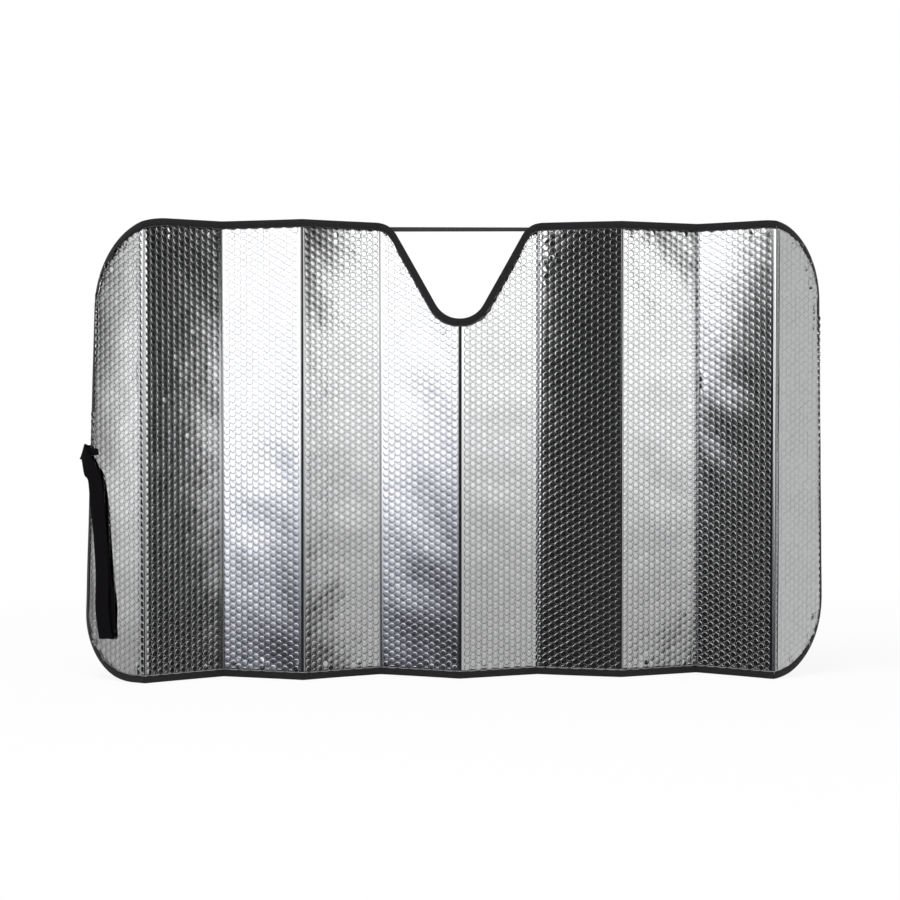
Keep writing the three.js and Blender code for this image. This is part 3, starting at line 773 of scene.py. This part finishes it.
def closure_strap():
    """The strap in one length: down in the outer layer, round its lower bend, back in the inner."""
    outer, inner = strap_lines(True), strap_lines(False)
    radius = np.linalg.norm(outer[-1] - inner[-1], axis=1)[:, None] / 2
    bend = (outer[-1] + inner[-1]) / 2 - radius * np.array([0, 0, 1])
    lines = np.concatenate([outer, bend[None], inner[::-1]])
    return band("closure_webbing", smooth_path(lines, LINES_PER_SPAN), STRAP["thickness"])


def strap_tab_and_shade():
    """A short band of webbing on the face beside the strap's fold, partly the strap's sewn tab and
    partly painted shade for the strap's dark reflection and shadow there: straight in from the
    edge, narrower and further forward towards its inner end."""
    share = np.linspace(0, 1, LINES_PER_SPAN)[:, None]
    v = STRAP["sewn"] + TAB_SHADE_SIDES + share * TAB_SHADE_NARROWING
    u = left_edge(v) + TAB_SHADE_START + share * TAB_SHADE_LENGTHS
    w = TAPE_OUTER + TAB_SHADE_STANDOFF + share * TAB_SHADE_RISE
    return band("closure_tab_and_shade", sheet_point(u, v, w + 0 * v), TAB_SHADE_THICKNESS)


# Materials


class Ops:
    """A shader socket that takes part in Python expressions."""

    def __init__(self, tree, socket):
        self.tree, self.socket = tree, socket

    def _math(self, operation, *values):
        return node(self.tree, "ShaderNodeMath", {"operation": operation}, *values)

    def __add__(self, other):
        return self._math("ADD", self, other)

    def __sub__(self, other):
        return self._math("SUBTRACT", self, other)

    def __rsub__(self, other):
        return self._math("SUBTRACT", other, self)

    def __mul__(self, other):
        return self._math("MULTIPLY", self, other)

    def __truediv__(self, other):
        return self._math("DIVIDE", self, other)

    __radd__, __rmul__ = __add__, __mul__

    def apply(self, operation, *values):
        return self._math(operation, self, *values)

    def step(self, low, high):
        """0 below low, 1 above high, smooth between."""
        settings = {"interpolation_type": "SMOOTHSTEP"}
        return node(self.tree, "ShaderNodeMapRange", settings, self, low, high, 0.0, 1.0)

    def parts(self):
        """The three numbers of a place."""
        first = node(self.tree, "ShaderNodeSeparateXYZ", {}, self)
        return [Ops(self.tree, socket) for socket in first.socket.node.outputs]


def put(tree, entry, value):
    if isinstance(value, Ops):
        tree.links.new(value.socket, entry)
    elif value is not None:
        entry.default_value = value


def node(tree, kind, settings, *values, out=0, **named):
    """A node of a kind: its settings are set first, then the values or links of its sockets."""
    made = tree.nodes.new(kind)
    for key, value in settings.items():
        setattr(made, key, value)
    for entry, value in zip(made.inputs, values):
        put(tree, entry, value)
    for key, value in named.items():
        put(tree, made.inputs[key.replace("_", " ")], value)
    return Ops(tree, made.outputs[out]) if made.outputs else None


def mix_colour(tree, factor, a, b):
    """A Mix node's colours, which are its seventh and eighth sockets."""
    return node(tree, "ShaderNodeMix", {"data_type": "RGBA"}, factor, *[None] * 5, a, b, out=2)


def new_material(name):
    material = bpy.data.materials.new(name)
    material.use_nodes = True
    material.node_tree.nodes.clear()
    return material, material.node_tree


def finish_material(tree, **values):
    shader = node(tree, "ShaderNodeBsdfPrincipled", {}, **values)
    node(tree, "ShaderNodeOutputMaterial", {}, shader)


def object_place(tree):
    return node(tree, "ShaderNodeTexCoord", {}, out=3)


def ray_kind(tree, kind):
    return node(tree, "ShaderNodeLightPath", {}, out=kind)


def bump(tree, height, distance, normal=None):
    return node(tree, "ShaderNodeBump", {}, Strength=1.0, Distance=distance, Height=height, Normal=normal)


def noise(tree, place, scale, detail=2.0, roughness=0.5):
    return node(
        tree, "ShaderNodeTexNoise", {}, Vector=place, Scale=scale, Detail=detail, Roughness=roughness
    )


# Heights of the finishes' relief in metres, and the scales of their noise
CRINKLE, PRESSED_BUBBLE, STREAK, THREAD_RELIEF = 0.00003, 0.00035, 0.0005, 0.0003
FINE_SCALE, BROAD_SCALE, PATCH_SCALE, FUZZ_SCALE = 260.0, 34.0, 12.0, 900.0
STREAK_SCALES = (95.0, 10.0, 3.5)
PATCH_DARKER, DULLER = 0.93, 0.08


def back_bubbles(tree):
    """Height of the bubbles pressed through to the film's back, 1 on their flat tops and 0 between
    them: the distance to the nearest centre of two crossed square lattices. 0 on the face."""
    across, up, on_back = (
        node(tree, "ShaderNodeAttribute", {"attribute_name": key}, out=2)
        for key in ("across_sheet", "up_sheet", "on_back")
    )
    a = (across - LATTICE_START * MM) / (2 * BUBBLE_COLUMN * MM)
    b = up / (BUBBLE_PITCH * MM)
    distances = []
    for shift in (0.0, 0.5):
        da = ((a - shift) - (a - shift).apply("ROUND")) * (2 * BUBBLE_COLUMN)
        db = ((b - shift) - (b - shift).apply("ROUND")) * BUBBLE_PITCH
        distances.append((da * da + db * db).apply("SQRT"))
    nearest = distances[0].apply("MINIMUM", distances[1])
    return (1 - nearest.step(BUBBLE_RINGS[0, 0], BUBBLE_RINGS[-1, 0])) * on_back


def end_streaks(tree):
    """Height of the upright streaks in the last panel: noise stretched along Z, by Object
    coordinates."""
    start = (plan(LAST_FOLD)[0] - PLAN_ORIGIN[0] + CREASE_REACH) * MM
    place = object_place(tree)
    stretched = node(tree, "ShaderNodeMapping", {}, place, Scale=STREAK_SCALES)
    inside = place.parts()[0].step(start, start + CREASE_REACH * MM)
    return noise(tree, stretched, 1.0, 3.0, 0.6) * inside


def foil_material(name, tint, roughness):
    """Metallised film: a mirror with fine crinkles, a little darker in patches, with the bubbles
    pressed through to its back and streaks in its last panel."""
    material, tree = new_material(name)
    place = object_place(tree)
    fine = noise(tree, place, FINE_SCALE, 3.0, 0.6)
    broad = noise(tree, place, BROAD_SCALE)
    darker = tuple(PATCH_DARKER * c for c in tint[:3]) + (1,)
    colour = mix_colour(tree, noise(tree, place, PATCH_SCALE), tint, darker)
    normal = bump(tree, fine + 0.8 * broad, CRINKLE)
    normal = bump(tree, back_bubbles(tree), PRESSED_BUBBLE, normal)
    normal = bump(tree, end_streaks(tree), STREAK, normal)
    uneven = roughness + DULLER * (fine - 0.5)
    finish_material(tree, Base_Color=colour, Metallic=1.0, Roughness=uneven, Normal=normal)
    return material


def woven_material(name, colour, lighter, thread, slant, sheen=0.15, shine=0.5):
    """Woven tape or webbing: two crossed sine waves of one thread's width, by Object coordinates,
    with a fine fuzz of noise."""
    material, tree = new_material(name)
    place = object_place(tree)
    x, y, z = place.parts()
    across = (x + y) * (TAU / thread)
    up = z * (TAU / thread)
    weave = (across * slant + up).apply("SINE") * (across - up * slant).apply("SINE")
    fuzz = noise(tree, place, FUZZ_SCALE)
    tone = mix_colour(tree, weave * 0.25 + 0.35 * fuzz + 0.2, colour, lighter)
    finish_material(
        tree,
        Base_Color=tone,
        Roughness=0.85,
        Sheen_Weight=sheen,
        Specular_IOR_Level=shine,
        Normal=bump(tree, weave * 0.5 + fuzz, THREAD_RELIEF),
    )
    return material


# Studio, with its places in metres

SHADE_MIDDLE = 0.4
SURROUND_RADIUS = 14
FLOOR_HALF = 30.0
FLOOR_DROP = 0.0004
CAMERA_GLOW, GLOW_FROM, GLOW_TO = 0.88, 0.8, 2.0
WORLD_LIGHT = 0.38
LAMP_SIZE = 2.4
LAMPS = {"key": ((-1.2, -1.6, 4.2), 130), "fill": ((2.6, -1.4, 3.4), 35)}


def azimuth_elevation(tree):
    """Direction of a point of the surround from the shade, in degrees: azimuth towards +X from -Y
    in front and from +Y behind, and elevation above the middle of the shade."""
    x, y, z = object_place(tree).parts()
    azimuth = x.apply("ARCTAN2", y.apply("ABSOLUTE")) * (360 / TAU)
    level = (x * x + y * y).apply("SQRT")
    elevation = (z - SHADE_MIDDLE).apply("ARCTAN2", level) * (360 / TAU)
    return azimuth, elevation


def surround_material():
    """What the foil mirrors: a dark room with a soft box on each side of the camera, grey walls at
    the sides, a dim roof, and a floor that is lighter close by. Each is a product of smooth steps
    in azimuth and elevation, in degrees."""
    material, tree = new_material("studio_surround")
    azimuth, elevation = azimuth_elevation(tree)

    # Soft box on the left, bluer low down, with a curved lower edge and two slanting sides
    past = -43.0 - azimuth
    left_high = (elevation - past * 0.62 + past * past * 0.017).step(-11.5, 0.8)
    left_side = (azimuth + elevation * 0.8).step(-58.5, -54.5)
    left_box = left_side * (1 - (azimuth - elevation * 0.5).step(-37.0, -33.5))

    # Soft box on the right, with one side that bulges out
    bulge = (elevation + 1.5) * (elevation + 1.5) * 0.06
    right_box = azimuth.step(35.0, 38.0) * (1 - (azimuth + bulge).step(53.6, 56.2))
    right_high = elevation.step(-7.5, 5.5)
    tall = elevation.step(-19.0, -11.0) * (1 - elevation.step(12.0, 20.0))

    # Walls past the boxes
    left_wall = (azimuth - elevation * 0.5).step(-80.5, -68.5) * (1 - azimuth.step(-69.5, -67.5))
    right_wall = azimuth.step(71.0, 76.0) * (1 - azimuth.step(86.0, 89.0) * 0.6)
    wall_high = elevation.step(-11.0, 3.0)

    # Roof, the part straight ahead, and the floor with its part close by
    roof = elevation.step(28.0, 50.0)
    floor = 1 - elevation.step(-34.0, -15.0)
    ahead = 1 - azimuth.apply("ABSOLUTE").step(12.0, 30.0)
    deep = 1 - elevation.step(-64.0, -26.0)

    light = (left_box * (0.03 + 1.4 * left_high) + right_box * (0.44 + 0.85 * right_high)) * tall
    light = light + left_wall * (0.3 + 0.9 * wall_high) + right_wall * 0.49
    light = light * (1 - roof) * (1 - floor) + roof * 0.1 + 0.012 + ahead * 0.01
    light = light + floor * (0.1 + 0.1 * ahead + 0.3 * deep)
    tint = mix_colour(tree, left_box * (1 - left_high), (1, 1, 1, 1), (0.72, 0.75, 0.96, 1))
    emission = node(tree, "ShaderNodeEmission", {}, tint, light)
    node(tree, "ShaderNodeOutputMaterial", {}, emission)
    material.cycles.emission_sampling = "NONE"
    return material


def make_floor():
    """White paper that keeps the shadow: it glows for the camera, most of all away from the shade."""
    corners = np.array([[-1, -1, 0], [1, -1, 0], [1, 1, 0], [-1, 1, 0]]) * FLOOR_HALF / MM
    floor = make_mesh("floor", corners, [[0, 1, 2, 3]])
    material, tree = new_material("floor_paper")
    away = node(tree, "ShaderNodeVectorMath", {"operation": "LENGTH"}, object_place(tree), out=1)
    clear = CAMERA_GLOW + (1 - CAMERA_GLOW) * away.step(GLOW_FROM, GLOW_TO)
    diffuse = node(tree, "ShaderNodeBsdfDiffuse", {}, (0.9, 0.9, 0.9, 1))
    glow = node(tree, "ShaderNodeEmission", {}, (1, 1, 1, 1), 1.0)
    share = ray_kind(tree, "Is Camera Ray") * clear
    paper = node(tree, "ShaderNodeMixShader", {}, share, diffuse, glow)
    node(tree, "ShaderNodeOutputMaterial", {}, paper)
    floor.data.materials.append(material)
    floor.location.z = -FLOOR_DROP
    floor.visible_glossy = False
    return floor


def make_surround():
    """A sphere round the studio that only mirror-like rays see."""
    bpy.ops.mesh.primitive_uv_sphere_add(segments=96, ring_count=48, radius=SURROUND_RADIUS)
    surround = bpy.context.object
    surround.name = "studio_surround"
    surround.data.materials.append(surround_material())
    surround.visible_camera = surround.visible_diffuse = surround.visible_shadow = False
    return surround


def make_world():
    """White for the camera and for mirror-like and clear surfaces, and a weaker light for others."""
    world = bpy.data.worlds.new("studio")
    bpy.context.scene.world = world
    world.use_nodes = True
    tree = world.node_tree
    tree.nodes.clear()
    seen = ray_kind(tree, "Is Camera Ray").apply("MAXIMUM", ray_kind(tree, "Is Glossy Ray"))
    seen = seen.apply("MAXIMUM", ray_kind(tree, "Is Transmission Ray"))
    level = WORLD_LIGHT + (1 - WORLD_LIGHT) * seen
    background = node(tree, "ShaderNodeBackground", {}, (1, 1, 1, 1), level)
    node(tree, "ShaderNodeOutputWorld", {}, background)


def make_lamps():
    """Two soft lamps above the shade that face its foot."""
    for name, (place, power) in LAMPS.items():
        data = bpy.data.lights.new(name, "AREA")
        data.energy, data.size = power, LAMP_SIZE
        lamp = bpy.data.objects.new(name, data)
        lamp.location = place
        lamp.rotation_euler = (-lamp.location).to_track_quat("-Z", "Y").to_euler()
        lamp.visible_glossy = False
        bpy.context.collection.objects.link(lamp)


make_floor()
make_surround()
make_world()
make_lamps()

# The object

BLACK, CHARCOAL = (0.002, 0.0016, 0.0022, 1), (0.010, 0.009, 0.011, 1)
foil = foil_material("foil_bright", (0.95, 0.955, 0.965, 1), 0.09)
tape_cloth = woven_material("tape_weave", CHARCOAL, (0.025, 0.023, 0.026, 1), 0.0022, 0.5)
webbing = woven_material("webbing_weave", BLACK, (0.009, 0.007, 0.0095, 1), 0.0026, 0.2, 0.02, 0.12)
elastic_cloth = woven_material(
    "elastic_knit", (0.035, 0.035, 0.036, 1), (0.07, 0.07, 0.07, 1), 0.0016, 0.0
)
thread = woven_material("thread", (0.012, 0.012, 0.013, 1), (0.03, 0.03, 0.032, 1), 0.0008, 0.5)

film = film_sheet()
bubbles = make_bubbles()
tape = edge_tape()
stitches = tape_stitches()
elastic = notch_elastic()
strap = closure_strap()
# Beside the strap's fold: partly its sewn tab, partly painted shade for the strap's reflection and shadow
tab_and_shade = strap_tab_and_shade()

for piece, material, slot in (
    (film, foil, "foil"),
    *((piece, foil, "foil") for piece in bubbles),
    (tape, tape_cloth, "binding"),
    (stitches, thread, "binding"),
    (elastic, elastic_cloth, "elastic"),
    (strap, webbing, "webbing"),
    (tab_and_shade, webbing, "webbing"),
):
    piece.data.materials.append(material)
    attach(piece, "root")

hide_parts("foil_sheet")
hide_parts("edge_binding")
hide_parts("notch_elastic")
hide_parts("closure_strap")
